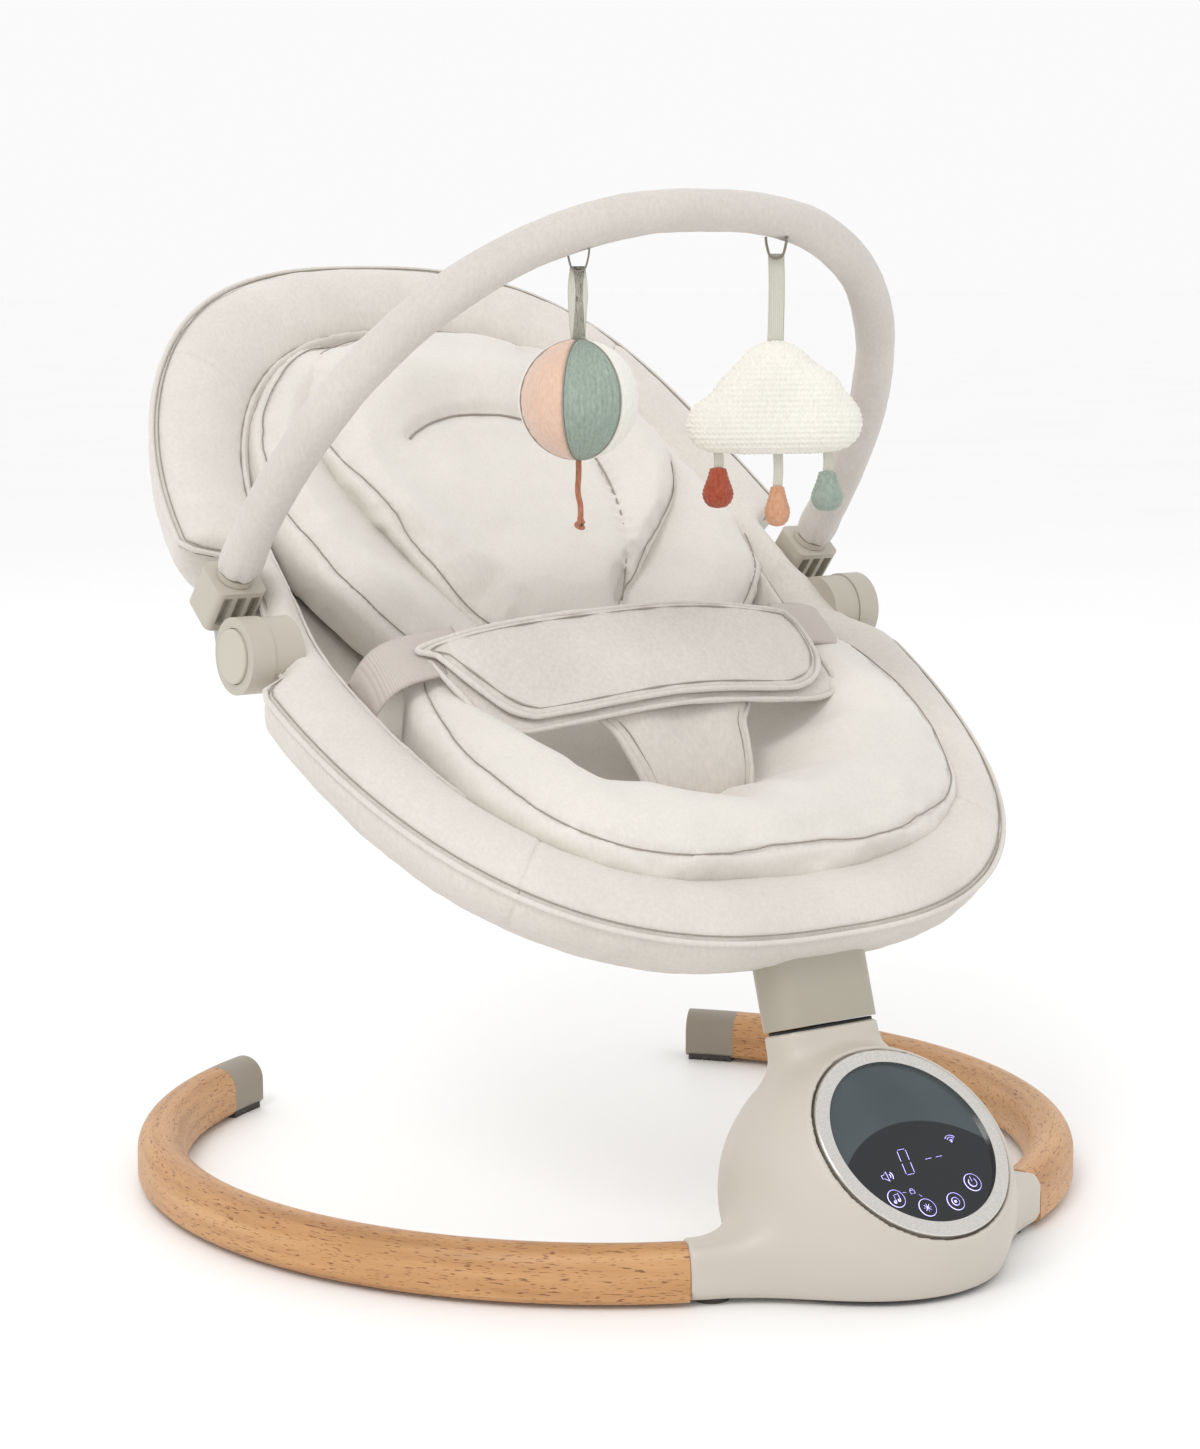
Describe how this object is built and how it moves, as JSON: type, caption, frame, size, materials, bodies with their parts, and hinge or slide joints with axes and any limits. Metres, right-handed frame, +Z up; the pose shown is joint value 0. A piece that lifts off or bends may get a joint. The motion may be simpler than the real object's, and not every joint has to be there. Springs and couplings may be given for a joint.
{
  "type": "baby swing",
  "caption": "Electric baby swing: fabric bucket seat on a leaning motorised post over a beech hoop base, with a tummy band and a removable toy bar with hanging toys.",
  "frame": {"origin": "middle of the footprint, on the floor under the foot pads", "axes": "+Z up, -Y towards the foot end and the control pod, +X towards the child's left"},
  "size_m": [0.61, 0.6735, 0.6312],
  "materials": {
    "beech": "satin lacquered",
    "steel": "satin",
    "cap_plastic": "fine matt texture",
    "foot_rubber": "ribbed",
    "pod_plastic": "satin moulded",
    "neck_plastic": "satin moulded",
    "hub_plastic": "satin moulded",
    "button_plastic": "satin moulded",
    "bezel_metal": "satin silver",
    "panel_glass": "polished black",
    "circuit_board": "solder mask",
    "dark_plastic": "matt",
    "copper_coil": "enamelled wire",
    "magnet_steel": "plated",
    "cover_fabric": "marl weave",
    "insert_fabric": "brushed marl weave",
    "band_fabric": "marl weave",
    "webbing": "woven tape",
    "sleeve_fabric": "marl weave",
    "toy_ribbon": "cotton tape",
    "ball_knit": "rib knit and velour",
    "cloud_knit": "garter knit",
    "tail_cord": "braided cotton",
    "rust_knit": "rib knit",
    "peach_knit": "rib knit",
    "sage_knit": "rib knit"
  },
  "bodies": {
    "base": {"wood_arm_left": "beech", "wood_arm_right": "beech", "arm_tenon_left": "steel", "arm_tenon_right": "steel", "end_cap_left": "cap_plastic", "end_cap_right": "cap_plastic", "foot_pads": "foot_rubber", "pod_shell": "pod_plastic", "pod_base_plate": "pod_plastic", "pod_screws": "steel", "bezel_ring": "bezel_metal", "panel_glass": "panel_glass", "panel_board": "circuit_board", "main_board": "circuit_board", "speaker": "dark_plastic", "dc_socket": "dark_plastic", "bearing_housing": "pod_plastic", "bearings": "steel", "drive_coil": "copper_coil"},
    "seat": {"spindle": "steel", "drive_arm": "steel", "drive_magnet": "magnet_steel", "neck_cover": "neck_plastic", "seat_bracket": "steel", "seat_tube": "steel", "inner_hub_left": "hub_plastic", "inner_hub_right": "hub_plastic", "hub_axles": "steel", "seat_cover": "cover_fabric", "seat_pad": "insert_fabric", "tummy_band": "band_fabric", "crotch_strap": "band_fabric", "side_strap_left": "webbing", "side_strap_right": "webbing"},
    "backrest": {"back_tube": "steel", "outer_hub_left": "hub_plastic", "outer_hub_right": "hub_plastic", "bar_socket_left": "hub_plastic", "bar_socket_right": "hub_plastic", "button_springs": "steel", "back_cover": "cover_fabric", "back_pad": "insert_fabric", "head_pillow": "insert_fabric"},
    "button_left": {"recline_button_left": "button_plastic"},
    "button_right": {"recline_button_right": "button_plastic"},
    "toy_bar": {"toy_bar_tube": "steel", "toy_bar_sleeve": "sleeve_fabric", "bar_plug_left": "hub_plastic", "bar_plug_right": "hub_plastic", "toy_loops": "webbing"},
    "ball_toy": {"ball_strap": "toy_ribbon", "plush_ball": "ball_knit", "ball_tail": "tail_cord"},
    "cloud_toy": {"cloud_strap": "toy_ribbon", "plush_cloud": "cloud_knit"},
    "drop_left": {"drop_left": "rust_knit"},
    "drop_middle": {"drop_middle": "peach_knit"},
    "drop_right": {"drop_right": "sage_knit"}
  },
  "joints": [
    {"name": "swing", "type": "hinge", "parent": "base", "child": "seat", "pos_m": [0, -0.206, 0.136], "axis": [0, 0.2924, 0.9563], "range_deg": [-12, 12]},
    {"name": "recline", "type": "hinge", "parent": "seat", "child": "backrest", "pos_m": [0, 0.062, 0.348], "axis": [-1, 0, 0], "range_deg": [0, 22]},
    {"name": "button_press_left", "type": "slide", "parent": "backrest", "child": "button_left", "axis": [1, 0, 0], "range_m": [0, 0.004], "stiffness_N_per_m": 900},
    {"name": "button_press_right", "type": "slide", "parent": "backrest", "child": "button_right", "axis": [-1, 0, 0], "range_m": [0, 0.004], "stiffness_N_per_m": 900},
    {"name": "toy_bar_pull", "type": "slide", "parent": "backrest", "child": "toy_bar", "axis": [0, -0.6293, 0.7771], "range_m": [0, 0.035]},
    {"name": "ball_swing", "type": "hinge", "parent": "toy_bar", "child": "ball_toy", "pos_m": [-0.088, -0.08013, 0.58496], "axis": [1, 0, 0], "range_deg": [-30, 30]},
    {"name": "cloud_swing", "type": "hinge", "parent": "toy_bar", "child": "cloud_toy", "pos_m": [0.056, -0.08609, 0.59232], "axis": [1, 0, 0], "range_deg": [-30, 30]},
    {"name": "drop_swing_left", "type": "hinge", "parent": "cloud_toy", "child": "drop_left", "pos_m": [0.02311, -0.07145, 0.46872], "axis": [0.9135, -0.4067, 0], "range_deg": [-20, 20]},
    {"name": "drop_swing_middle", "type": "hinge", "parent": "cloud_toy", "child": "drop_middle", "pos_m": [0.05783, -0.0869, 0.46872], "axis": [0.9135, -0.4067, 0], "range_deg": [-20, 20]},
    {"name": "drop_swing_right", "type": "hinge", "parent": "cloud_toy", "child": "drop_right", "pos_m": [0.08706, -0.09992, 0.46872], "axis": [0.9135, -0.4067, 0], "range_deg": [-20, 20]}
  ]
}
